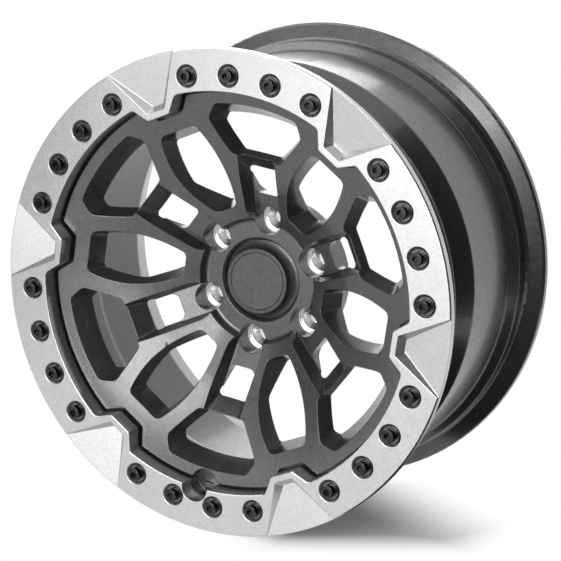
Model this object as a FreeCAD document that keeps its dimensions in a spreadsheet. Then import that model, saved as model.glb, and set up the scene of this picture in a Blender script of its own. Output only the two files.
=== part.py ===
import FreeCAD, Part
import math
import os
import Sketcher

# Forged beadlock wheel, six lugs, with its bolted outer ring and centre cap.
# Millimetres. The wheel spins about Y: the outboard face looks to -Y and the
# origin lies on the axis in the face that meets the vehicle's hub. +Z is up.
# Depths called "depth" run inboard from the front plane of the outer ring.

DRIVING_SIZES = [
    # Whole wheel
    ("ring_front", 123.8),
    ("rear_plane", 123.7),
    ("spin_angle", 8.68),
    ("sectors", 6),
    # Outer ring
    ("ring_radius", 233.8),
    ("ring_width", 40.8),
    ("ring_thick", 17.5),
    ("ring_rim_thick", 9.5),
    ("ring_edge", 1.2),
    ("ring_bevel", 0.8),
    ("tab_height", 16.0),
    ("tab_half", 12.3),
    ("tab_lean", 40.7),
    ("tab_root_round", 5.0),
    ("tab_tip_round", 3.5),
    ("spigot_inset", 19.8),
    ("spigot_height", 1.5),
    ("spigot_play", 0.15),
    # Sunk pads on the ring
    ("pad_border", 6.0),
    ("pad_half_inner", 10.2),
    ("pad_half_outer", 39.9),
    ("pad_corner", 3.0),
    ("pad_sink", 8.5),
    ("pad_wall_run", 5.5),
    ("pad_floor_half", 5.9),
    ("pad_step", 1.2),
    # Ring bolts and washers
    ("bolt_inset", 25.4),
    ("bolt_step", 12.0),
    ("bolt_radius", 4.0),
    ("bolt_reach", 35.0),
    ("bolt_hole_play", 0.5),
    ("thread_play", 0.05),
    ("head_radius", 6.5),
    ("head_height", 8.0),
    ("head_edge", 0.8),
    ("socket_radius", 3.6),
    ("socket_depth", 4.5),
    ("washer_radius", 9.2),
    ("washer_thick", 1.8),
    ("counterbore_radius", 9.6),
    ("counterbore_depth", 4.2),
    ("counterbore_bevel", 1.5),
    ("tapped_depth", 40.5),
    # Spoke face and back of the disc
    ("lip_depth", 19.0),
    ("face_bend", 271.0),
    ("face_knee_radius", 100.0),
    ("face_knee_depth", 51.7),
    ("face_slope", 31.2),
    ("groove_depth", 30.0),
    ("land_inset", 0.4),
    ("groove_width", 2.4),
    ("plateau_radius", 59.5),
    ("plateau_step_radius", 62.0),
    ("plateau_depth", 83.5),
    ("back_rim_depth", 39.0),
    ("back_mid_radius", 150.0),
    ("back_mid_depth", 48.5),
    ("back_knee_radius", 112.0),
    ("back_knee_depth", 60.0),
    ("hub_pad_radius", 77.0),
    ("hub_pad_height", 19.8),
    # Barrel
    ("seat_drop", 15.5),
    ("hump_rise", 1.1),
    ("flange_rise", 17.3),
    ("flange_width", 9.4),
    ("rear_seat_width", 19.0),
    ("front_hump_depth", 47.0),
    ("well_drop", 19.3),
    ("well_front_depth", 72.0),
    ("well_rear_depth", 92.0),
    ("leg_drop", 6.9),
    ("leg_front_depth", 112.0),
    ("barrel_wall", 5.8),
    ("flare_length", 47.5),
    ("flare_drop", 10.6),
    # Hub
    ("bore_radius", 33.45),
    ("bore_bevel", 1.5),
    ("cap_bore_radius", 36.5),
    ("cap_bore_floor", 18.0),
    ("cap_recess_radius", 40.0),
    ("cap_recess_floor", 31.8),
    ("snap_radius", 37.6),
    ("snap_width", 3.5),
    # Lug holes and their channels
    ("lug_circle", 60.0),
    ("lug_counterbore", 14.4),
    ("lug_seat_height", 17.4),
    ("lug_seat_radius", 12.0),
    ("lug_hole_radius", 7.3),
    ("lug_seat_cone", 30.0),
    ("channel_tilt", 26.6),
    ("channel_floor_depth", 117.5),
    ("channel_rise", 24.0),
    ("channel_floor_half", 14.8),
    ("channel_top_half", 22.7),
    ("channel_hub_end", 55.0),
    ("channel_outer_floor", 129.4),
    ("channel_outer_top", 151.3),
    ("channel_corner", 5.0),
    # Small windows past the channels
    ("small_window_half", 14.0),
    ("small_window_inner", 87.8),
    ("small_window_outer", 116.2),
    ("small_window_corner", 7.0),
    # Outer windows, at a plane in front of the face and one behind the disc
    ("outer_front_plane", 16.0),
    ("outer_front_foot", 121.9),
    ("outer_front_foot_half", 31.1),
    ("outer_front_inset", 10.9),
    ("outer_front_shoulder", 22.4),
    ("outer_front_spoke_gap", 34.4),
    ("outer_front_top_step", 8.3),
    ("outer_front_corner", 8.5),
    ("outer_rear_plane", 54.0),
    ("outer_rear_foot", 131.9),
    ("outer_rear_foot_half", 19.6),
    ("outer_rear_inset", 28.4),
    ("outer_rear_shoulder", 8.6),
    ("outer_rear_spoke_gap", 46.4),
    ("outer_rear_top_step", 1.9),
    ("outer_rear_corner", 3.0),
    # Petal windows, on planes that lean like the face and like the back
    ("petal_front_tilt", 25.55),
    ("petal_front_depth", 94.5),
    ("petal_front_foot", 81.0),
    ("petal_front_foot_half", 12.2),
    ("petal_front_inset", 29.7),
    ("petal_front_top_half", 20.7),
    ("petal_front_bend", 133.0),
    ("petal_front_corner", 7.5),
    ("petal_rear_tilt", 35.4),
    ("petal_rear_depth", 158.6),
    ("petal_rear_foot", 102.7),
    ("petal_rear_foot_half", 6.0),
    ("petal_rear_inset", 40.2),
    ("petal_rear_top_half", 16.5),
    ("petal_rear_bend", 185.0),
    ("petal_rear_corner", 4.5),
    # Valve
    ("valve_offset", 1.0),
    ("valve_pocket_radius", 13.5),
    ("valve_pocket_depth", 33.0),
    ("valve_hole_radius", 5.65),
    ("valve_hole_rise", 7.0),
    ("valve_lean", 20.0),
    # Centre cap
    ("cap_disc_radius", 32.3),
    ("cap_front", 48.3),
    ("cap_play", 0.3),
    ("cap_wall", 2.2),
    ("badge_radius", 27.9),
    ("badge_thick", 1.6),
    ("clip_width", 9.0),
    ("clip_thick", 1.8),
    ("clip_reach", 12.5),
    ("wire_radius", 0.9),
]

doc = FreeCAD.newDocument("forged_wheel")
sheet = doc.addObject("Spreadsheet::Sheet", "Sizes")
for row, (alias, value) in enumerate(DRIVING_SIZES, start=1):
    sheet.set("A%d" % row, alias)
    sheet.set("B%d" % row, str(value))
    sheet.setAlias("B%d" % row, alias)
doc.recompute()


class Size:
    """A number together with the sheet expression that gives it."""

    def __init__(self, value, text):
        self.value = value
        self.text = text

    @staticmethod
    def of(other):
        if isinstance(other, Size):
            return other
        return Size(float(other), repr(float(other)))

    def __add__(self, other):
        other = Size.of(other)
        return Size(self.value + other.value, "(%s + %s)" % (self.text, other.text))

    def __sub__(self, other):
        other = Size.of(other)
        return Size(self.value - other.value, "(%s - %s)" % (self.text, other.text))

    def __mul__(self, other):
        other = Size.of(other)
        return Size(self.value * other.value, "(%s * %s)" % (self.text, other.text))

    def __truediv__(self, other):
        other = Size.of(other)
        return Size(self.value / other.value, "(%s / %s)" % (self.text, other.text))

    def __radd__(self, other):
        return Size.of(other) + self

    def __rsub__(self, other):
        return Size.of(other) - self

    def __rmul__(self, other):
        return Size.of(other) * self

    def __neg__(self):
        return Size.of(0) - self


def size(alias):
    return Size(float(sheet.get(alias)), "Sizes." + alias)


def sine(angle):
    return Size(math.sin(math.radians(angle.value)), "sin(%s)" % angle.text)


def cosine(angle):
    return Size(math.cos(math.radians(angle.value)), "cos(%s)" % angle.text)


def tangent(angle):
    return sine(angle) / cosine(angle)


def root(number):
    return Size(math.sqrt(number.value), "sqrt(%s)" % number.text)


def bind(item, prop, amount):
    """Tie one property of a document object to its sheet expression."""
    item.setExpression(prop, Size.of(amount).text)


def at_depth(depth):
    """Y of a place that lies at this depth behind the ring's front plane."""
    return depth - size("ring_front")


def ring_inner():
    return size("ring_radius") - size("ring_width")


def bolt_circle():
    return size("ring_radius") - size("bolt_inset")


def spigot_radius():
    return size("ring_radius") - size("spigot_inset")


def seat_radius():
    """Radius of the seats that carry the tyre's beads."""
    return size("ring_radius") - size("seat_drop")


def valve_circle():
    return ring_inner() + size("valve_offset")


def origin_item(body, role):
    return [f for f in body.Origin.OriginFeatures if f.Role == role][0]


def new_body(label):
    body = doc.addObject("PartDesign::Body", label)
    body.Label = label
    body.AllowCompound = True
    return body


def turn_body(body):
    """Give the piece its place: turned about the axle by the spin angle."""
    body.Placement = FreeCAD.Placement(FreeCAD.Vector(0, 0, 0),
                                       FreeCAD.Rotation(FreeCAD.Vector(0, 1, 0), size("spin_angle").value))
    body.setExpression("Placement.Rotation.Angle", "Sizes.spin_angle")


def new_sketch(body, name, plane="XZ_Plane", base=(0, 0, 0), axis=(0, 0, 1), angle=0):
    """A sketch on one of the body's origin planes, moved by base and turned about axis."""
    sketch = body.newObject("Sketcher::SketchObject", name)
    sketch.AttachmentSupport = [(origin_item(body, plane), "")]
    sketch.MapMode = "FlatFace"
    base = [Size.of(b) for b in base]
    angle = Size.of(angle)
    turn = FreeCAD.Rotation(FreeCAD.Vector(*axis), angle.value if angle.value else 1.0)
    if not angle.value:
        turn = FreeCAD.Rotation()
    sketch.AttachmentOffset = FreeCAD.Placement(FreeCAD.Vector(*[b.value for b in base]), turn)
    for part, b in zip("xyz", base):
        if "Sizes" in b.text:
            bind(sketch, "AttachmentOffset.Base." + part, b)
    if "Sizes" in angle.text:
        bind(sketch, "AttachmentOffset.Rotation.Angle", angle)
    return sketch


class Corner:
    """A corner of an outline: where it is, its rounding, and the bend of the edge that leaves it."""

    def __init__(self, across, up, rounding=0, bend=0):
        self.across = Size.of(across)
        self.up = Size.of(up)
        self.rounding = Size.of(rounding)
        self.bend = Size.of(bend)
        self.place = FreeCAD.Vector(self.across.value, self.up.value, 0)


def left_of(direction):
    return FreeCAD.Vector(-direction.y, direction.x, 0)


class Edge:
    """A straight or bent edge between two corners. A positive bend has its centre on the left."""

    def __init__(self, start, end, bend):
        self.start = start
        self.end = end
        self.bend = bend
        chord = end - start
        self.along = FreeCAD.Vector(chord).normalize()
        if bend:
            rise = math.sqrt(bend ** 2 - chord.Length ** 2 / 4)
            self.centre = (start + end) * 0.5 + left_of(self.along) * math.copysign(rise, bend)

    def heading(self, point):
        if not self.bend:
            return self.along
        spoke = (point - self.centre).normalize()
        return left_of(spoke) * math.copysign(1, self.bend)

    def foot(self, point):
        """The nearest place to a point on the endless edge."""
        if not self.bend:
            return self.start + self.along * (point - self.start).dot(self.along)
        return self.centre + (point - self.centre).normalize() * abs(self.bend)


def rounding_centre(before, after, corner, radius):
    """Centre of the rounding that touches both edges, found by stepping both distances to the radius."""
    turn = before.heading(corner).cross(after.heading(corner)).z
    side = math.copysign(1, turn)
    centre = corner + (left_of(before.heading(corner)) + left_of(after.heading(corner))) * side * radius
    for step in range(60):
        for edge in (before, after):
            foot = edge.foot(centre)
            inward = left_of(edge.heading(foot)) * side
            centre = centre + inward * (radius - (centre - foot).dot(inward))
    return centre, side


class Drawing:
    """Curves and constraints collected for one sketch, then added and tied to the sheet together."""

    def __init__(self, sketch):
        self.sketch = sketch
        self.constraints = []
        self.amounts = {}

    def rule(self, *words):
        self.constraints.append(Sketcher.Constraint(*words))

    def tie(self, kind, amount):
        if "Sizes" in amount.text:
            self.amounts[len(self.constraints)] = amount
        self.rule(*kind, amount.value)

    def place(self, number, vertex, corner):
        if abs(corner.across.value) < 1e-9:
            self.rule("PointOnObject", number, vertex, -2)
        else:
            self.tie(("DistanceX", -1, 1, number, vertex), corner.across)
        if abs(corner.up.value) < 1e-9:
            self.rule("PointOnObject", number, vertex, -1)
        else:
            self.tie(("DistanceY", -1, 1, number, vertex), corner.up)

    def finish(self):
        numbers = self.sketch.addConstraint(self.constraints)
        for place, amount in self.amounts.items():
            bind(self.sketch, "Constraints[%d]" % numbers[place], amount)


def draw_outline(sketch, corners):
    """Close the corners with edges and tangent roundings, and tie every size to the sheet."""
    count = len(corners)
    edges = [Edge(corners[i].place, corners[(i + 1) % count].place, corners[i].bend.value)
             for i in range(count)]
    starts = [c.place for c in corners]
    ends = [corners[(i + 1) % count].place for i in range(count)]
    roundings = {}
    for i, corner in enumerate(corners):
        if corner.rounding.value:
            before, after = edges[i - 1], edges[i]
            centre, side = rounding_centre(before, after, corner.place, corner.rounding.value)
            roundings[i] = (centre, side, before.foot(centre), after.foot(centre))
            ends[i - 1] = before.foot(centre)
            starts[i] = after.foot(centre)
    # Each drawn curve with the vertex numbers of its first and last end on the way round
    drawn = [add_curve(sketch, starts[i], ends[i], edges[i].centre if edges[i].bend else None,
                       edges[i].bend) for i in range(count)]
    drawing = Drawing(sketch)
    for i, corner in enumerate(corners):
        last, first = drawn[i - 1], drawn[i]
        if i in roundings:
            centre, side, tail, head = roundings[i]
            arc = add_curve(sketch, tail, head, centre, side)
            drawing.rule("Tangent", last[0], last[2], arc[0], arc[1])
            drawing.rule("Tangent", arc[0], arc[2], first[0], first[1])
            drawing.tie(("Radius", arc[0]), corner.rounding)
            mark = sketch.addGeometry(Part.Point(corner.place), True)
            drawing.place(mark, 1, corner)
            drawing.rule("PointOnObject", mark, 1, last[0])
            drawing.rule("PointOnObject", mark, 1, first[0])
        else:
            drawing.rule("Coincident", last[0], last[2], first[0], first[1])
            drawing.place(first[0], first[1], corner)
        if corner.bend.value:
            bend = corner.bend if corner.bend.value > 0 else -corner.bend
            drawing.tie(("Radius", first[0]), bend)
    drawing.finish()


def add_curve(sketch, start, end, centre, side):
    """Add a line, or an arc about centre, and return its number and its first and last vertex."""
    if centre is None:
        return sketch.addGeometry(Part.LineSegment(start, end), False), 1, 2
    circle = Part.Circle(centre, FreeCAD.Vector(0, 0, 1), (start - centre).Length)
    low, high = (start, end) if side > 0 else (end, start)
    arc = Part.ArcOfCircle(circle, circle.parameter(low), circle.parameter(high))
    number = sketch.addGeometry(arc, False)
    return (number, 1, 2) if side > 0 else (number, 2, 1)


def mirrored(half, top_bend=0, foot_bend=0):
    """A symmetric outline from its right half, listed from the foot to the top."""
    right = [Corner(c.across, c.up, c.rounding, c.bend) for c in half]
    right[-1].bend = Size.of(top_bend)
    left = [Corner(-c.across, c.up, c.rounding, 0) for c in reversed(half)]
    for i in range(len(half) - 1):
        left[i].bend = half[len(half) - 2 - i].bend
    left[-1].bend = Size.of(foot_bend)
    return right + left


def revolve(body, name, corners, cut=False, axis_height=None, plane_turn=0):
    """Turn a section about the axle, or about a line beside it at axis_height."""
    sketch = new_sketch(body, name + "_section", "YZ_Plane", axis=(1, 0, 0), angle=plane_turn)
    if axis_height is not None:
        line = sketch.addGeometry(Part.LineSegment(FreeCAD.Vector(-10, axis_height.value, 0),
                                                   FreeCAD.Vector(10, axis_height.value, 0)), True)
        drawing = Drawing(sketch)
        drawing.rule("Horizontal", line)
        drawing.rule("DistanceX", -1, 1, line, 1, -10.0)
        drawing.rule("DistanceX", -1, 1, line, 2, 10.0)
        drawing.tie(("DistanceY", -1, 1, line, 1), axis_height)
        drawing.finish()
    draw_outline(sketch, corners)
    kind = "PartDesign::Groove" if cut else "PartDesign::Revolution"
    feature = body.newObject(kind, name)
    feature.Profile = sketch
    feature.ReferenceAxis = (sketch, ["H_Axis" if axis_height is None else "Axis0"])
    feature.Angle = 360
    return feature


def extrude(body, name, corners, front_depth, rear_depth=None, cut=False):
    """Pad or pocket an outline drawn square to the axle between two depths."""
    sketch = new_sketch(body, name + "_outline", base=(0, 0, -at_depth(front_depth)))
    draw_outline(sketch, corners)
    feature = body.newObject("PartDesign::Pocket" if cut else "PartDesign::Pad", name)
    feature.Profile = sketch
    if not cut:
        feature.Reversed = True
    if rear_depth is None:
        feature.Type = "ThroughAll"
    else:
        length = rear_depth - front_depth
        feature.Length = length.value
        bind(feature, "Length", length)
    return feature


def loft_cut(body, name, first, second):
    feature = body.newObject("PartDesign::SubtractiveLoft", name)
    feature.Profile = first
    feature.Sections = [second]
    feature.Ruled = True
    return feature


def repeat(body, name, originals):
    """Repeat features about the axle, once a sector."""
    pattern = body.newObject("PartDesign::PolarPattern", name)
    pattern.Originals = originals
    pattern.Axis = (origin_item(body, "Y_Axis"), [""])
    pattern.Angle = 360
    pattern.Occurrences = int(size("sectors").value)
    bind(pattern, "Occurrences", size("sectors"))
    body.Tip = pattern
    return pattern


def turned(across, up, angle):
    """A place on the face turned clockwise about the axle, as seen from the front."""
    return (across * cosine(angle) + up * sine(angle), up * cosine(angle) - across * sine(angle))


def sector_angle(number):
    return Size.of(360) / size("sectors") * number


def tab_corners(gap, number):
    """One tab of the ring's inner outline, moved off the ring by a gap: the tab's four corners in turn."""
    lean = size("tab_lean")
    radius = ring_inner() - gap
    tip = ring_inner() - size("tab_height") - gap
    half = size("tab_half") + gap * (1 - sine(lean)) / cosine(lean)
    rise = tangent(lean)
    start = half - rise * tip
    spread = 1 + rise * rise
    root_up = (root(rise * rise * start * start - spread * (start * start - radius * radius)) - rise * start) / spread
    root_half = start + rise * root_up
    angle = sector_angle(number + 0.5)
    corners = []
    for across, up, rounding in ((-root_half, root_up, size("tab_root_round") - gap),
                                 (-half, tip, size("tab_tip_round") + gap),
                                 (half, tip, size("tab_tip_round") + gap),
                                 (root_half, root_up, size("tab_root_round") - gap)):
        corners.append(Corner(*turned(across, up, angle), rounding))
    return corners, radius


def tabbed_outline(gap):
    """The ring's whole inner outline, moved off the ring by a gap: arcs with a tab in the middle of each sector."""
    outline = []
    for number in range(int(size("sectors").value)):
        corners, radius = tab_corners(gap, number)
        corners[-1].bend = -radius
        outline += corners
    return outline


def tabbed_strip(outer_gap, inner_gap):
    """A sector's strip between two tabbed outlines."""
    outer, outer_radius = tab_corners(outer_gap, 0)
    inner, inner_radius = tab_corners(inner_gap, 0)
    inner.reverse()
    start, end = sector_angle(0), sector_angle(1)
    outer[-1].bend = -outer_radius
    inner[-1].bend = inner_radius
    return ([Corner(*turned(Size.of(0), outer_radius, start), 0, -outer_radius)] + outer
            + [Corner(*turned(Size.of(0), outer_radius, end)),
               Corner(*turned(Size.of(0), inner_radius, end), 0, inner_radius)] + inner
            + [Corner(*turned(Size.of(0), inner_radius, start))])


def draw_circle(sketch, across, up, radius):
    number = sketch.addGeometry(Part.Circle(FreeCAD.Vector(across.value, up.value, 0),
                                            FreeCAD.Vector(0, 0, 1), radius.value), False)
    drawing = Drawing(sketch)
    drawing.place(number, 3, Corner(across, up))
    drawing.tie(("Radius", number), radius)
    drawing.finish()


def holes(body, name, places, radius, front_depth, rear_depth=None):
    """Pocket round holes square to the face at several places."""
    sketch = new_sketch(body, name + "_circles", base=(0, 0, -at_depth(front_depth)))
    for across, up in places:
        draw_circle(sketch, across, up, radius)
    feature = body.newObject("PartDesign::Pocket", name)
    feature.Profile = sketch
    if rear_depth is None:
        feature.Type = "ThroughAll"
    else:
        bind(feature, "Length", rear_depth - front_depth)
    return feature


def bolt_angles():
    """Angles of a sector's bolts from the middle of their group."""
    return [size("bolt_step") * (number - 1.5) for number in range(4)]


def bolt_places():
    return [turned(Size.of(0), bolt_circle(), angle) for angle in bolt_angles()]


def wheel_blank(body):
    """The wheel as turned: disc, face, hub pad and barrel in one section."""
    step_depth = (size("face_knee_depth")
                  + (size("face_knee_radius") - size("plateau_step_radius")) * tangent(size("face_slope")))
    land = size("ring_thick")
    seat = seat_radius()
    hump = seat + size("hump_rise")
    flange = seat + size("flange_rise")
    well = seat - size("well_drop")
    leg = seat - size("leg_drop")
    inside_well = well - size("barrel_wall")
    inside_leg = leg - size("barrel_wall")
    rear = size("rear_plane") + size("ring_front")
    flange_front = rear - size("flange_width")
    seat_end = flange_front - 8.0
    rear_hump = seat_end - size("rear_seat_width")
    hub_back = size("ring_front") - size("hub_pad_height")
    groove_middle = ring_inner() - size("groove_width") / 2
    outline = [
        (size("plateau_depth"), 0, 0, 0),
        (size("plateau_depth"), size("plateau_radius"), 4.0, 0),
        (step_depth, size("plateau_step_radius"), 0, 0),
        (size("face_knee_depth"), size("face_knee_radius"), 0, -size("face_bend")),
        (size("lip_depth"), ring_inner() - size("groove_width"), 0, 0),
        (size("lip_depth"), groove_middle, 0, 0),
        (land, groove_middle, 0, 0),
        (land, spigot_radius(), 0, 0),
        (land - size("spigot_height"), spigot_radius(), 0, 0),
        (land - size("spigot_height"), seat, 1.0, 0),
        (size("front_hump_depth") - 5.0, seat, 6.0, 0),
        (size("front_hump_depth"), hump, 3.0, 0),
        (size("well_front_depth"), well, 7.0, 0),
        (size("well_rear_depth"), well, 7.0, 0),
        (size("leg_front_depth"), leg, 8.0, 0),
        (rear_hump - 8.0, leg - 1.0, 5.0, 0),
        (rear_hump, hump, 3.0, 0),
        (rear_hump + 5.0, seat, 6.0, 0),
        (seat_end, seat, 5.5, 0),
        (flange_front, flange, 3.0, 0),
        (rear, flange, 1.5, 0),
        (rear, flange - size("flare_drop"), 1.5, 0),
        (rear - size("flare_length"), inside_leg, 12.0, 0),
        (size("leg_front_depth") + 3.0, inside_leg, 10.0, 0),
        (size("well_rear_depth") + 3.0, inside_well, 8.0, 0),
        (size("back_rim_depth"), inside_well, 9.0, 0),
        (size("back_mid_depth"), size("back_mid_radius"), 0, 0),
        (size("back_knee_depth"), size("back_knee_radius"), 10.0, 0),
        (hub_back, size("hub_pad_radius"), 4.0, 0),
        (size("ring_front"), size("hub_pad_radius"), 1.0, 0),
        (size("ring_front"), 0, 0, 0),
    ]
    corners = [Corner(at_depth(Size.of(depth)), radius, rounding, bend)
               for depth, radius, rounding, bend in outline]
    return revolve(body, "turned_blank", corners)


def ring_land(body):
    """The tabbed land that carries the ring."""
    land = size("ring_thick")
    sketch = new_sketch(body, "land_outline", base=(0, 0, -at_depth(land)))
    draw_outline(sketch, tabbed_outline(-size("land_inset")))
    draw_circle(sketch, Size.of(0), Size.of(0), ring_inner() + 8.0)
    feature = body.newObject("PartDesign::Pad", "ring_land")
    feature.Profile = sketch
    feature.Reversed = True
    bind(feature, "Length", size("groove_depth") + 3.0 - land)
    return feature


def ring_groove(body):
    """The groove that parts the ring and its land from the face."""
    return extrude(body, "ring_groove", tabbed_strip(-size("land_inset"), size("groove_width")),
                   size("ring_thick") - 3.0, size("groove_depth"), cut=True)


def outer_window(body):
    middle = sector_angle(0.5)
    sketches = []
    for side in ("front", "rear"):
        def at(name):
            return size("outer_%s_%s" % (side, name))
        radius = ring_inner() - at("inset")
        wide = radius - at("shoulder")
        wide_half = wide * tangent(middle) - at("spoke_gap") / cosine(middle)
        top_half = wide_half - at("top_step")
        half = [Corner(at("foot_half"), at("foot"), at("corner")),
                Corner(wide_half, wide, at("corner")),
                Corner(top_half, root(radius * radius - top_half * top_half), at("corner"))]
        sketch = new_sketch(body, "outer_window_" + side, base=(0, 0, -at_depth(at("plane"))))
        draw_outline(sketch, mirrored(half, top_bend=radius))
        sketches.append(sketch)
    return loft_cut(body, "outer_window", *sketches)


def petal_window(body):
    middle = sector_angle(0.5)
    sketches = []
    for side in ("front", "rear"):
        def at(name):
            return size("petal_%s_%s" % (side, name))
        top = (ring_inner() - at("inset")) / cosine(at("tilt"))
        half = [Corner(at("foot_half"), at("foot"), at("corner"), at("bend")),
                Corner(at("top_half"), top, at("corner"))]
        sketch = new_sketch(body, "petal_window_" + side)
        lean_sketch(sketch, at("depth"), at("tilt"), middle)
        draw_outline(sketch, mirrored(half))
        sketches.append(sketch)
    return loft_cut(body, "petal_window", *sketches)


def lean_sketch(sketch, axle_depth, tilt, angle):
    """Lean a sketch so its plane crosses the axle at a depth and comes forward outwards; turn it to an angle."""
    turn = FreeCAD.Rotation(FreeCAD.Vector(0, 0, 1), -angle.value)
    lean = FreeCAD.Rotation(FreeCAD.Vector(1, 0, 0), tilt.value)
    sketch.AttachmentOffset = FreeCAD.Placement(FreeCAD.Vector(0, 0, -at_depth(axle_depth).value), turn * lean)
    bind(sketch, "AttachmentOffset.Base.z", -at_depth(axle_depth))


def lug_channel(body):
    """The sloping channel of a lug, with the small window at its outer end."""
    tilt = size("channel_tilt")
    raised = size("channel_floor_depth") - size("channel_rise") / cosine(tilt)
    drift = size("channel_rise") * tangent(tilt)
    sketches = []
    for name, depth, half, outer, shift in (
            ("floor", size("channel_floor_depth"), size("channel_floor_half"), size("channel_outer_floor"), Size.of(0)),
            ("top", raised, size("channel_top_half"), size("channel_outer_top"), drift)):
        sketch = new_sketch(body, "channel_" + name)
        lean_sketch(sketch, depth, tilt, Size.of(0))
        round_end = half * 0.94
        draw_outline(sketch, mirrored([Corner(half, size("channel_hub_end") + shift, round_end),
                                       Corner(half, outer + shift, size("channel_corner"))]))
        sketches.append(sketch)
    channel = loft_cut(body, "lug_channel", *sketches)
    half = size("small_window_half")
    corner = size("small_window_corner")
    window = extrude(body, "small_window",
                     mirrored([Corner(half, size("small_window_inner"), corner),
                               Corner(half, size("small_window_outer"), corner)]),
                     size("back_mid_depth"), cut=True)
    return [channel, window]


def lug_hole(body):
    """Counterbore, stepped conical seat and through hole of a lug."""
    centre = size("lug_circle")
    cone = tangent(size("lug_seat_cone"))
    seat = -size("lug_seat_height")
    land = seat + (size("lug_seat_radius") - size("lug_hole_radius")) / cone
    outline = [
        (at_depth(size("plateau_depth") - 4.0), centre),
        (at_depth(size("plateau_depth") - 4.0), centre + size("lug_counterbore")),
        (seat, centre + size("lug_counterbore")),
        (seat, centre + size("lug_seat_radius")),
        (land, centre + size("lug_hole_radius")),
        (Size.of(2.0), centre + size("lug_hole_radius")),
        (Size.of(2.0), centre),
    ]
    return revolve(body, "lug_hole", [Corner(a, r) for a, r in outline], cut=True, axis_height=centre)


def hub_bores(body):
    """Recess and bore for the cap, the snap groove, and the bore that centres the wheel."""
    recess = size("cap_recess_radius")
    cap_bore = size("cap_bore_radius")
    snap_start = -size("cap_recess_floor") + 6.0
    outline = [
        (at_depth(size("plateau_depth") - 2.0), 0, 0),
        (at_depth(size("plateau_depth") - 2.0), recess + 4.0, 0),
        (at_depth(size("plateau_depth")), recess + 2.0, 0),
        (at_depth(size("plateau_depth") + 2.5), recess, 1.5),
        (-size("cap_recess_floor"), recess, 0),
        (-size("cap_recess_floor"), cap_bore, 0),
        (snap_start, cap_bore, 0),
        (snap_start, size("snap_radius"), 0),
        (snap_start + size("snap_width"), size("snap_radius"), 0),
        (snap_start + size("snap_width"), cap_bore, 0),
        (-size("cap_bore_floor"), cap_bore, 0),
        (-size("cap_bore_floor"), size("bore_radius"), 0),
        (-size("bore_bevel"), size("bore_radius"), 0),
        (Size.of(0), size("bore_radius") + size("bore_bevel"), 0),
        (Size.of(2.0), size("bore_radius") + size("bore_bevel"), 0),
        (Size.of(2.0), 0, 0),
    ]
    return revolve(body, "hub_bores", [Corner(a, r, rounding) for a, r, rounding in outline], cut=True)


def valve_seat(body):
    """Pocket in the face for the valve and the leaning hole to the tyre's side of the barrel."""
    down = -valve_circle()
    holes(body, "valve_pocket", [(Size.of(0), down)], size("valve_pocket_radius"),
          size("outer_front_plane") - 6.0, size("valve_pocket_depth"))
    sketch = new_sketch(body, "valve_hole_circle")
    lean = size("valve_lean")
    start = at_depth(size("valve_pocket_depth") - 1.0)
    sketch.AttachmentOffset = FreeCAD.Placement(
        FreeCAD.Vector(0, (down - size("valve_hole_rise")).value, -start.value),
        FreeCAD.Rotation(FreeCAD.Vector(1, 0, 0), -lean.value))
    bind(sketch, "AttachmentOffset.Base.y", down - size("valve_hole_rise"))
    bind(sketch, "AttachmentOffset.Base.z", -start)
    draw_circle(sketch, Size.of(0), Size.of(0), size("valve_hole_radius"))
    feature = body.newObject("PartDesign::Pocket", "valve_hole")
    feature.Profile = sketch
    feature.Length = 40.0
    return feature


def build_wheel():
    body = new_body("wheel")
    wheel_blank(body)
    ring_land(body)
    windows = [ring_groove(body), outer_window(body), petal_window(body)]
    windows += lug_channel(body)
    windows.append(lug_hole(body))
    windows.append(holes(body, "tapped_holes", bolt_places(), size("bolt_radius") + size("thread_play"),
                         size("ring_thick") - 1.0, size("tapped_depth")))
    repeat(body, "sector_cuts", windows)
    valve_seat(body)
    hub_bores(body)
    return body


def build_ring():
    body = new_body("beadlock_ring")
    edge = size("ring_edge")
    outer = size("ring_radius")
    inner = ring_inner() - size("tab_height") - 4.0
    rebate = spigot_radius() - size("spigot_play")
    step = seat_radius() - 0.8
    outline = [
        (Size.of(0), inner), (Size.of(0), outer - edge), (edge, outer),
        (size("ring_rim_thick") - edge, outer), (size("ring_rim_thick"), outer - edge),
        (size("ring_rim_thick"), step),
        (size("ring_thick") - size("spigot_height") - size("spigot_play"), step),
        (size("ring_thick") - size("spigot_height") - size("spigot_play"), rebate),
        (size("ring_thick"), rebate), (size("ring_thick"), inner)]
    revolve(body, "ring_blank", [Corner(at_depth(depth), radius) for depth, radius in outline])
    extrude(body, "ring_opening", tabbed_outline(Size.of(0)), Size.of(-2.0), cut=True)
    inner_bevel(body)
    cuts = [holes(body, "bolt_holes", bolt_places(), size("bolt_radius") + size("bolt_hole_play"), Size.of(-2.0))]
    cuts += counterbores(body)
    cuts.append(sunk_pad(body))
    repeat(body, "ring_sectors", cuts)
    holes(body, "valve_notch", [(Size.of(0), -valve_circle())], size("valve_pocket_radius"), Size.of(-2.0))
    return body


def inner_bevel(body):
    """A small bevel on the front edge of the ring's inner outline."""
    bevel = size("ring_bevel")
    sketches = []
    for name, depth in (("front", -bevel), ("rear", bevel * 2)):
        sketch = new_sketch(body, "bevel_" + name, base=(0, 0, -at_depth(depth)))
        draw_outline(sketch, tabbed_outline(depth - bevel))
        sketches.append(sketch)
    return loft_cut(body, "inner_bevel", *sketches)


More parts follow.
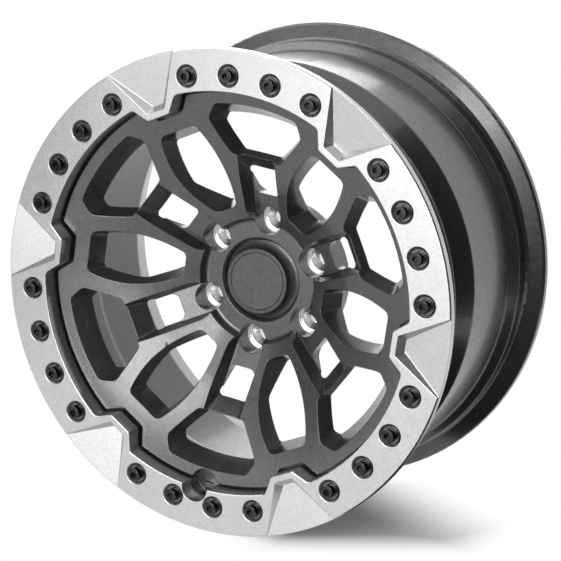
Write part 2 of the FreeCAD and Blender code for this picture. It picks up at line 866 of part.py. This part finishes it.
def counterbores(body):
    """Counterbores for the bolt heads, each with a bevelled rim."""
    axis = bolt_circle()
    radius = size("counterbore_radius")
    bevel = size("counterbore_bevel")
    over = Size.of(2.0)
    cuts = []
    for number, angle in enumerate(bolt_angles()):
        outline = [(-over, 0), (-over, radius + bevel + over), (bevel, radius),
                   (size("counterbore_depth"), radius), (size("counterbore_depth"), 0)]
        corners = [Corner(at_depth(depth), axis + across) for depth, across in outline]
        cuts.append(revolve(body, "counterbore_%d" % (number + 1), corners, cut=True, axis_height=axis,
                            plane_turn=angle))
    return cuts


def sunk_pad(body):
    """The sunk pad of a tab: its floor rises outwards to a small step at the ring's edge, with leaning walls."""
    middle = sector_angle(0.5)
    over = Size.of(4.0)
    inner = ring_inner() - size("tab_height") + size("pad_border")
    floor_inner = inner + size("pad_wall_run")
    lean = size("pad_wall_run") / size("pad_sink")
    run = size("ring_radius") - floor_inner
    fall = size("pad_sink") - size("pad_step")
    tilt = Size(math.degrees(math.atan2(fall.value, run.value)), "atan2(%s; %s)" % (fall.text, run.text))
    half_step = size("pad_half_outer") - size("pad_step") * lean
    floor = new_sketch(body, "pad_floor")
    lean_sketch(floor, size("pad_sink") + floor_inner * fall / run, tilt, middle)
    draw_outline(floor, mirrored([
        Corner(size("pad_floor_half"), floor_inner / cosine(tilt), 1.5),
        Corner(half_step + over * (half_step - size("pad_floor_half")) / run,
               (size("ring_radius") + over) / cosine(tilt))]))
    top = new_sketch(body, "pad_top")
    lean_sketch(top, -over, Size.of(0), middle)
    spread = (size("pad_half_outer") - size("pad_half_inner")) / (size("ring_radius") - inner)
    draw_outline(top, mirrored([
        Corner(size("pad_half_inner") + over * lean * 0.5, inner - over * lean, size("pad_corner")),
        Corner(size("pad_half_outer") + over * (lean + spread), size("ring_radius") + over)]))
    return loft_cut(body, "sunk_pad", floor, top)


def build_bolts():
    body = new_body("ring_bolts")
    under_head = size("counterbore_depth") - size("washer_thick")
    top = under_head - size("head_height")
    edge = size("head_edge")
    axis = bolt_circle()
    features = []
    for number, angle in enumerate(bolt_angles()):
        outline = [(top, 0), (top, size("head_radius") - edge), (top + edge, size("head_radius")),
                   (under_head, size("head_radius")), (under_head, size("bolt_radius")),
                   (size("bolt_reach") - edge, size("bolt_radius")),
                   (size("bolt_reach"), size("bolt_radius") - edge), (size("bolt_reach"), 0)]
        corners = [Corner(at_depth(Size.of(depth)), axis + radius) for depth, radius in outline]
        features.append(revolve(body, "bolt_%d" % (number + 1), corners, axis_height=axis, plane_turn=angle))
    for number, angle in enumerate(bolt_angles()):
        corners = []
        for side in range(6):
            around = Size.of(60 * side)
            corners.append(Corner(*turned(size("socket_radius") * sine(around),
                                          axis + size("socket_radius") * cosine(around), angle)))
        features.append(extrude(body, "socket_%d" % (number + 1), corners, top - 1.0,
                                top + size("socket_depth"), cut=True))
    repeat(body, "bolt_sectors", features)
    return body


def build_washers():
    body = new_body("ring_washers")
    axis = bolt_circle()
    rear = size("counterbore_depth")
    front = rear - size("washer_thick")
    inner = size("bolt_radius") + size("bolt_hole_play")
    edge = size("head_edge")
    features = []
    for number, angle in enumerate(bolt_angles()):
        outline = [(front, inner), (front, size("washer_radius") - edge), (front + edge, size("washer_radius")),
                   (rear, size("washer_radius")), (rear, inner)]
        corners = [Corner(at_depth(depth), axis + radius) for depth, radius in outline]
        features.append(revolve(body, "washer_%d" % (number + 1), corners, axis_height=axis, plane_turn=angle))
    repeat(body, "washer_sectors", features)
    return body


def build_cap():
    """The centre cap: disc with a raised rim, flared skirt, and clip legs that snap into the hub."""
    body = new_body("centre_cap")
    front = -size("cap_front")
    wall = size("cap_wall")
    foot = -size("cap_recess_floor")
    skirt = size("cap_recess_radius") - size("cap_play") - 0.7
    disc = size("cap_disc_radius")
    bore = size("cap_bore_radius") - size("cap_play")
    badge = size("badge_radius") + size("cap_play")
    outline = [
        (front + size("badge_thick"), 0, 0, 0), (front + size("badge_thick"), badge, 0, 0),
        (front, badge, 0, 0), (front, disc, 0.8, 0),
        (front + 2.5, disc, 0.5, 9.0), (foot - 3.5, skirt, 0, 0), (foot, skirt, 0.4, 0),
        (foot, bore - size("clip_thick"), 0, 0), (foot - wall, bore - size("clip_thick"), 0, 0),
        (foot - 4.5, disc - wall, 0, 0),
        (front + size("badge_thick") + wall, disc - wall - 2.0, 1.0, 0),
        (front + size("badge_thick") + wall, 0, 0, 0)]
    revolve(body, "cap_shell", [Corner(a, r, rounding, bend) for a, r, rounding, bend in outline])
    inner = bore - size("clip_thick")
    half = size("clip_width") / 2
    snap = foot + 6.0 + size("cap_play")
    hook = size("snap_radius") - size("cap_play")
    reach = foot + size("clip_reach")
    clip = [(foot - 1.0, inner), (foot - 1.0, bore), (snap, bore), (snap + 1.1, hook), (snap + 1.8, hook),
            (snap + 2.9, bore), (reach, bore - 1.0), (reach, inner)]
    legs = revolve(body, "clip_legs", [Corner(a, r) for a, r in clip])
    gaps = new_sketch(body, "clip_gap_outline", base=(0, 0, -foot))
    outer = hook + 2.0
    span = sector_angle(0.5)
    inner_up = inner - 1.5
    left_low = turned(half, inner_up, Size.of(0))
    right_low = turned(-half, inner_up, span * 2)
    left_high = turned(half, outer, Size.of(0))
    right_high = turned(-half, outer, span * 2)
    middle_high = turned(Size.of(0), outer * 1.2, span)
    middle_low = turned(Size.of(0), inner_up, span)
    draw_outline(gaps, [Corner(*left_low), Corner(*left_high), Corner(*middle_high), Corner(*right_high),
                        Corner(*right_low), Corner(*middle_low)])
    pocket = body.newObject("PartDesign::Pocket", "clip_gaps")
    pocket.Profile = gaps
    bind(pocket, "Length", size("clip_reach") + 1.0)
    repeat(body, "clip_sectors", [pocket])
    return body


def build_badge():
    body = new_body("cap_badge")
    front = -size("cap_front")
    outline = [(front, 0, 0), (front, size("badge_radius"), 0.5), (front + size("badge_thick"), size("badge_radius"), 0),
               (front + size("badge_thick"), 0, 0)]
    revolve(body, "badge_disc", [Corner(a, r, rounding) for a, r, rounding in outline])
    return body


def build_wire():
    """The spring wire behind the clip legs that presses them into the snap groove."""
    body = new_body("cap_wire")
    section = new_sketch(body, "wire_section", "YZ_Plane")
    inside = size("cap_bore_radius") - size("cap_play") - size("clip_thick") - size("wire_radius")
    draw_circle(section, -size("cap_recess_floor") + 7.5, inside, size("wire_radius"))
    feature = body.newObject("PartDesign::Revolution", "wire_ring")
    feature.Profile = section
    feature.ReferenceAxis = (section, ["H_Axis"])
    feature.Angle = 350
    return body


os.makedirs("parts", exist_ok=True)
pieces = [build_wheel(), build_ring(), build_bolts(), build_washers(), build_cap(), build_badge(), build_wire()]
for piece in pieces:
    turn_body(piece)
doc.recompute()
for item in doc.Objects:
    if "Invalid" in item.State or "Error" in item.State:
        raise RuntimeError("%s: %s" % (item.Name, item.State))
for piece in pieces:
    shape = piece.Shape
    if shape.isNull() or not shape.isValid():
        raise RuntimeError(piece.Label + " is not a valid shape")
    print(piece.Label, len(shape.Solids), round(shape.Volume / 1000.0, 1), shape.BoundBox)
    shape.exportStep("parts/" + piece.Label + ".step")
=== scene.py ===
import math

import bpy
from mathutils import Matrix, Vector


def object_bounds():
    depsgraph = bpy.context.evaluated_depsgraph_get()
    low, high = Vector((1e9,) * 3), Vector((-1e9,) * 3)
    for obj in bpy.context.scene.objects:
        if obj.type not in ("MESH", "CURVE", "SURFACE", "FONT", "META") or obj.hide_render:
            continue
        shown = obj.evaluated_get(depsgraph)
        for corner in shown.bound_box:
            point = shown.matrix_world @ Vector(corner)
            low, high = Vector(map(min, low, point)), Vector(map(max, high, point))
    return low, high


# A forged beadlock wheel standing on a white studio floor, seen from the front right and a little above.
# Metres. The wheel spins about Y, its outboard face looks to -Y, and +Z is up.

# Camera, as the photograph was taken
CAMERA_PLACE = Vector((0.9602, -1.9107, 0.4571))
CAMERA_AIM = Vector((-0.43816, 0.87336, -0.21276))
CAMERA_LENS = 142.23
CAMERA_SENSOR = 36.0
CAMERA_RANGE = (0.1, 60.0)

# Lug holes: their turn about the axle, their spacing and their circle
LUG_TURN = math.radians(8.68)
LUG_SECTOR = math.radians(60.0)
LUG_CIRCLE = 0.060

# Bare metal in a lug hole: where it fades out about the hole's axis, at its front and at its back
BARE_RADIUS = (0.0146, 0.0148)
BARE_FRONT = (-0.022, -0.021)
BARE_BACK = (-0.001, -0.0005)

# Paint of the wheel, under a clear coat
PAINT_GREY = 0.098
PAINT_METALLIC = 0.78
PAINT_ROUGHNESS = 0.30
COAT_WEIGHT = 0.4
COAT_ROUGHNESS = 0.12

# Metals: the lug holes' bare one, with so many turned lines to the metre, and the ring's silver
BARE_GREY = 0.74
BARE_ROUGHNESS = 0.22
TURNING_LINES = 1300.0
SILVER_GREY = 0.575

# Height of the fine grain on paint and silver, and the care taken over a broken edge
GRAIN_HEIGHT = 0.00001
EDGE_SAMPLES = 6

# Floor: its size, its gap below the wheel, and the height of a cloth that lies on it
FLOOR_SIZE = 30.0
FLOOR_GAP = 0.0004
CLOTH_LIFT = 0.004

# The floor's shadow fades to pure white behind the wheel, around its foot and in front of it.
# Each fade has a direction or a middle, and the distances at which it starts and ends.
# The whole shadow keeps a least share of white.
BEHIND_DIRECTION = (0.55, 0.83, 0.0)
BEHIND_FADE = (0.04, 0.17)
FOOT_MIDDLE = (0.10, -0.02, 0.0)
FOOT_FADE = (0.06, 0.15)
FRONT_DIRECTION = (0.44, -0.90, 0.0)
FRONT_FADE = (0.09, 0.168)
LEAST_WHITE = 0.08

# The room's light on the wheel, where 1 is white
ROOM_LIGHT = 0.35

# Most values of a noise lie between these two
NOISE_SPAN = (0.3, 0.7)


# Node helpers

class Graph:
    """The node tree of one material or world, with short calls for the nodes used here."""

    def __init__(self, tree):
        self.tree = tree
        self.tree.nodes.clear()

    def add(self, kind, **settings):
        node = self.tree.nodes.new(kind)
        for name, value in settings.items():
            setattr(node, name, value)
        return node

    def link(self, source, target):
        self.tree.links.new(source, target)

    def feed(self, socket, value):
        """Link a socket, or set it where the value is plain."""
        if isinstance(value, bpy.types.NodeSocket):
            self.link(value, socket)
        elif socket.type == "VECTOR":
            socket.default_value = value[:3]
        else:
            socket.default_value = value

    def surface(self, shader, kind="ShaderNodeOutputMaterial"):
        """Send a shader to the output of the material or world."""
        self.link(shader, self.add(kind).inputs["Surface"])

    def place(self):
        """Where a point lies on its own object."""
        return self.add("ShaderNodeTexCoord").outputs["Object"]

    def math(self, operation, *values, clamp=False):
        node = self.add("ShaderNodeMath", operation=operation, use_clamp=clamp)
        for socket, value in zip(node.inputs, values):
            self.feed(socket, value)
        return node.outputs[0]

    def times(self, first, *others):
        product = first
        for value in others:
            product = self.math("MULTIPLY", product, value)
        return product

    def length(self, first, second):
        """Length of a flat vector from its two parts."""
        squares = self.math("ADD", self.times(first, first), self.times(second, second))
        return self.math("SQRT", squares)

    def vector(self, operation, *values):
        node = self.add("ShaderNodeVectorMath", operation=operation)
        for socket, value in zip(node.inputs, values):
            self.feed(socket, value)
        return node.outputs["Value" if operation in ("DOT_PRODUCT", "LENGTH") else "Vector"]

    def ramp(self, value, low, high, to_low=0.0, to_high=1.0):
        """A smooth step of a value from one range to another."""
        node = self.add("ShaderNodeMapRange", interpolation_type="SMOOTHSTEP")
        for socket, number in zip(node.inputs, (value, low, high, to_low, to_high)):
            self.feed(socket, number)
        return node.outputs[0]

    def between(self, share, first, second):
        """A value that goes from the first to the second as the share goes from 0 to 1."""
        return self.ramp(share, 0.0, 1.0, first, second)

    def noise(self, place, scale, detail=2.0):
        node = self.add("ShaderNodeTexNoise")
        self.feed(node.inputs["Vector"], place)
        node.inputs["Scale"].default_value = scale
        node.inputs["Detail"].default_value = detail
        return node.outputs["Fac"]

    def drift(self, place, scale, low, high, detail=2.0):
        """A value that wanders between two numbers from place to place."""
        return self.ramp(self.noise(place, scale, detail), *NOISE_SPAN, low, high)

    def sparkle(self, place, scale, low, high):
        """A random value between two numbers for each small cell of space."""
        node = self.add("ShaderNodeTexVoronoi", feature="F1")
        self.feed(node.inputs["Vector"], place)
        node.inputs["Scale"].default_value = scale
        parts = self.add("ShaderNodeSeparateColor")
        self.link(node.outputs["Color"], parts.inputs[0])
        return self.between(parts.outputs[0], low, high)

    def blend(self, share, first, second):
        node = self.add("ShaderNodeMix", data_type="RGBA")
        self.feed(node.inputs[0], share)
        for socket, colour in ((node.inputs[6], first), (node.inputs[7], second)):
            self.feed(socket, colour)
        return node.outputs[2]

    def shade(self, colour, amount):
        """A colour made lighter or darker by an amount."""
        node = self.add("ShaderNodeVectorMath", operation="SCALE")
        self.feed(node.inputs[0], colour)
        self.feed(node.inputs["Scale"], amount)
        return node.outputs["Vector"]


def grey(value):
    return (value, value, value, 1.0)


def new_material(name):
    material = bpy.data.materials.new(name)
    material.use_nodes = True
    return material, Graph(material.node_tree)


def principled(graph, colour, metallic, roughness, normal):
    shader = graph.add("ShaderNodeBsdfPrincipled")
    for name, value in (("Base Color", colour), ("Metallic", metallic), ("Roughness", roughness)):
        graph.feed(shader.inputs[name], value)
    graph.link(normal, shader.inputs["Normal"])
    graph.surface(shader.outputs[0])
    return shader


def broken_edge(graph, radius):
    """Surface normal with every sharp edge broken to a small radius."""
    node = graph.add("ShaderNodeBevel", samples=EDGE_SAMPLES)
    node.inputs["Radius"].default_value = radius
    return node.outputs[0]


def grain(graph, place, scale, normal):
    """Fine bumps of a sprayed or blasted surface."""
    node = graph.add("ShaderNodeBump")
    node.inputs["Strength"].default_value = 1.0
    node.inputs["Distance"].default_value = GRAIN_HEIGHT
    graph.link(graph.noise(place, scale, detail=3.0), node.inputs["Height"])
    graph.link(normal, node.inputs["Normal"])
    return node.outputs[0]


# Materials

def lug_seat(graph, place):
    """One on the bare metal in a lug hole, zero on the paint."""
    parts = graph.add("ShaderNodeSeparateXYZ")
    graph.link(place, parts.inputs[0])
    x, y, z = parts.outputs

    # Distance from the nearest lug's axis
    angle = graph.math("SUBTRACT", graph.math("ARCTAN2", x, z), LUG_TURN)
    local = graph.math("WRAP", angle, LUG_SECTOR / 2, -LUG_SECTOR / 2)
    radius = graph.length(x, z)
    across = graph.times(radius, graph.math("SINE", local))
    outward = graph.times(radius, graph.math("COSINE", local))
    off_axis = graph.length(across, graph.math("SUBTRACT", outward, LUG_CIRCLE))

    inside = graph.ramp(off_axis, *BARE_RADIUS, 1.0, 0.0)
    behind_front = graph.ramp(y, *BARE_FRONT, 0.0, 1.0)
    before_back = graph.ramp(y, *BARE_BACK, 1.0, 0.0)
    return graph.times(inside, behind_front, before_back)


def wheel_paint():
    """Satin anthracite paint with fine metal flakes, and bare machined lug seats."""
    material, graph = new_material("anthracite_paint")
    place = graph.place()
    seat = lug_seat(graph, place)

    flake = graph.sparkle(place, scale=1300.0, low=0.80, high=1.22)
    mottle = graph.drift(place, scale=45.0, low=0.97, high=1.03)
    paint = graph.shade(graph.shade(grey(PAINT_GREY), flake), mottle)
    lines = graph.vector("MULTIPLY", place, (0.0, TURNING_LINES, 0.0))
    turning = graph.drift(lines, scale=1.0, low=0.88, high=1.06)
    colour = graph.blend(seat, paint, graph.shade(grey(BARE_GREY), turning))

    metallic = graph.between(seat, PAINT_METALLIC, 1.0)
    cloud = graph.drift(place, scale=160.0, low=-0.03, high=0.03)
    rough = graph.math("ADD", graph.between(seat, PAINT_ROUGHNESS, BARE_ROUGHNESS), cloud)
    edge = broken_edge(graph, radius=0.0012)
    normal = grain(graph, place, scale=1600.0, normal=edge)
    shader = principled(graph, colour, metallic, rough, normal)
    shader.inputs["Coat Weight"].default_value = COAT_WEIGHT
    shader.inputs["Coat Roughness"].default_value = COAT_ROUGHNESS
    graph.link(edge, shader.inputs["Coat Normal"])
    return material


def ring_metal():
    """Blasted silver with a fine sparkling grain."""
    material, graph = new_material("silver_ring")
    place = graph.place()
    spark = graph.sparkle(place, scale=1000.0, low=0.94, high=1.06)
    mottle = graph.drift(place, scale=60.0, low=0.985, high=1.015)
    colour = graph.shade(graph.shade(grey(SILVER_GREY), spark), mottle)
    rough = graph.drift(place, scale=400.0, low=0.27, high=0.34)
    normal = grain(graph, place, scale=1400.0, normal=broken_edge(graph, radius=0.0009))
    principled(graph, colour, 1.0, rough, normal)
    return material


def plain_metal(name, shade, metallic, roughness, spread=0.05, edge=0.0003):
    """A metal or plastic of one grey with faint handling marks."""
    material, graph = new_material(name)
    place = graph.place()
    marks = graph.drift(place, scale=220.0, low=0.9, high=1.1, detail=4.0)
    colour = graph.shade(grey(shade), marks)
    rough = graph.drift(place, scale=500.0, low=roughness - spread, high=roughness + spread)
    principled(graph, colour, metallic, rough, broken_edge(graph, edge))
    return material


def dress(node, material):
    node.data.materials.clear()
    node.data.materials.append(material)


# Stage and light

def seen_directly(graph):
    """One for the rays of the camera and of its reflections, zero for the light on the object."""
    rays = graph.add("ShaderNodeLightPath").outputs
    direct = graph.math("ADD", rays["Is Camera Ray"], rays["Is Glossy Ray"])
    return graph.math("ADD", direct, rays["Is Transmission Ray"], clamp=True)


def white_light(graph, kind, strength):
    """A white emission or background of a given strength."""
    node = graph.add(kind)
    node.inputs["Color"].default_value = grey(1.0)
    node.inputs["Strength"].default_value = strength
    return node.outputs[0]


def dull(graph, place, value, scale, low, high):
    """A dull grey whose tone wanders between two shares of its value."""
    node = graph.add("ShaderNodeBsdfDiffuse")
    graph.link(graph.shade(grey(value), graph.drift(place, scale, low, high)), node.inputs["Color"])
    return node.outputs[0]


def mixed(graph, share, first, second):
    node = graph.add("ShaderNodeMixShader")
    for socket, source in zip(node.inputs, (share, first, second)):
        graph.link(source, socket)
    return node.outputs[0]


def studio_floor(height):
    """A white floor that keeps the wheel's soft shadow and turns pure white away from it."""
    bpy.ops.mesh.primitive_plane_add(size=FLOOR_SIZE, location=(0, 0, height))
    floor = bpy.context.object
    floor.name = "studio_floor"
    material, graph = new_material("white_floor")
    place = graph.place()
    board = dull(graph, place, 1.0, scale=2.0, low=0.87, high=0.88)
    behind = graph.vector("DOT_PRODUCT", place, BEHIND_DIRECTION)
    foot = graph.vector("LENGTH", graph.vector("SUBTRACT", place, FOOT_MIDDLE))
    front = graph.vector("DOT_PRODUCT", place, FRONT_DIRECTION)
    away = graph.ramp(behind, *BEHIND_FADE, LEAST_WHITE, 1.0)
    away = graph.math("MAXIMUM", away, graph.ramp(foot, *FOOT_FADE))
    away = graph.math("MAXIMUM", away, graph.ramp(front, *FRONT_FADE))
    white = graph.times(seen_directly(graph), away)
    graph.surface(mixed(graph, white, board, white_light(graph, "ShaderNodeEmission", 1.0)))
    floor.data.materials.append(material)


def cloth(name, shade, ray, shown):
    """A dull cloth that only one kind of ray sees or, where it isn't shown to that kind, all the others."""
    material, graph = new_material(name)
    weave = dull(graph, graph.place(), shade, scale=300.0, low=0.8, high=1.2)
    clear = graph.add("ShaderNodeBsdfTransparent").outputs[0]
    share = graph.add("ShaderNodeLightPath").outputs[ray]
    graph.surface(mixed(graph, share, clear, weave) if shown else mixed(graph, share, weave, clear))
    return material


def sheet(name, place, tilt, turn, size, material):
    """A flat sheet on the stage, tilted up from the floor and turned about the vertical, in degrees."""
    rotation = (math.radians(tilt), 0, math.radians(turn))
    bpy.ops.mesh.primitive_plane_add(size=1.0, location=place, rotation=rotation)
    panel = bpy.context.object
    panel.name = name
    panel.scale = (*size, 1.0)
    panel.data.materials.append(material)


def card(name, place, turn, size, shade):
    """A standing card, out of the camera's sight, that keeps the white room out of one side of the wheel."""
    sheet(name, place, 90, turn, size, cloth(name + "_cloth", shade, "Is Camera Ray", shown=False))


def floor_cloth(name, place, turn, size, shade):
    """A dark cloth on the floor that only the wheel's reflections see."""
    sheet(name, place, 0, turn, size, cloth(name + "_weave", shade, "Is Glossy Ray", shown=True))


def studio_world():
    """White where the camera looks, and a soft grey room for the light."""
    world = bpy.data.worlds.new("studio")
    bpy.context.scene.world = world
    world.use_nodes = True
    graph = Graph(world.node_tree)
    room = white_light(graph, "ShaderNodeBackground", ROOM_LIGHT)
    white = white_light(graph, "ShaderNodeBackground", 1.0)
    graph.surface(mixed(graph, seen_directly(graph), room, white), "ShaderNodeOutputWorld")


def softbox(name, direction, distance, width, height, radiance):
    """A rectangular lamp that looks at the wheel from a direction, of a given brightness."""
    data = bpy.data.lights.new(name, "AREA")
    data.shape = "RECTANGLE"
    data.size, data.size_y = width, height
    # A lamp's power is its radiance times its area times pi
    data.energy = radiance * width * height * math.pi
    lamp = bpy.data.objects.new(name, data)
    bpy.context.scene.collection.objects.link(lamp)
    direction = Vector(direction).normalized()
    lamp.location = direction * distance
    lamp.rotation_euler = (-direction).to_track_quat("-Z", "Y").to_euler()


def studio_camera():
    data = bpy.data.cameras.new("camera")
    data.sensor_width = CAMERA_SENSOR
    data.lens = CAMERA_LENS
    data.clip_start, data.clip_end = CAMERA_RANGE
    camera = bpy.data.objects.new("camera", data)
    bpy.context.scene.collection.objects.link(camera)
    camera.location = CAMERA_PLACE
    camera.rotation_euler = CAMERA_AIM.to_track_quat("-Z", "Y").to_euler()
    bpy.context.scene.camera = camera


# The scene

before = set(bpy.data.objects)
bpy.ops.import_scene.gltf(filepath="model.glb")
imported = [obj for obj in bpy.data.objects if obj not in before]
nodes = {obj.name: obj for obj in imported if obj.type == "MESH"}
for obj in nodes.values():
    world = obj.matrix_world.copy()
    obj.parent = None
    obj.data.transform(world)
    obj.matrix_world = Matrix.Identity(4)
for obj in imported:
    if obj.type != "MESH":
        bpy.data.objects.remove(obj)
cad_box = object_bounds()
ground = cad_box[0].z

studio_camera()
black_steel = plain_metal("black_steel", 0.05, metallic=1.0, roughness=0.08, spread=0.03, edge=0.0007)
dress(nodes["wheel"], wheel_paint())
dress(nodes["beadlock_ring"], ring_metal())
dress(nodes["ring_bolts"], black_steel)
dress(nodes["ring_washers"], plain_metal("dark_zinc", 0.14, metallic=1.0, roughness=0.16))
dress(nodes["centre_cap"], plain_metal("cap_plastic", 0.08, metallic=0.6, roughness=0.34, edge=0.001))
dress(nodes["cap_badge"], plain_metal("badge_plastic", 0.095, metallic=0.6, roughness=0.36, edge=0.0006))
dress(nodes["cap_wire"], plain_metal("bare_steel", 0.5, metallic=1.0, roughness=0.3))

studio_floor(ground - FLOOR_GAP)
studio_world()
card("right_card", (0.76, -0.25, 0.50), turn=90, size=(1.7, 1.5), shade=0.08)
card("left_card", (-1.10, -0.55, 0.28), turn=113, size=(1.5, 1.03), shade=0.62)
floor_cloth("right_cloth", (0.53, -0.465, ground + CLOTH_LIFT), turn=24, size=(0.45, 1.30), shade=0.06)
softbox("key_softbox", (0.07, -0.96, 0.25), distance=3.2, width=2.0, height=2.3, radiance=5.6)
softbox("front_softbox", (-0.17, -0.98, -0.01), distance=1.3, width=1.0, height=0.44, radiance=0.5)
softbox("top_softbox", (-0.48, -0.13, 0.87), distance=3.0, width=2.0, height=2.0, radiance=1.9)
softbox("rim_softbox", (-0.42, 0.84, 0.36), distance=3.2, width=2.0, height=1.2, radiance=2.3)

bpy.context.scene.view_settings.view_transform = "Standard"
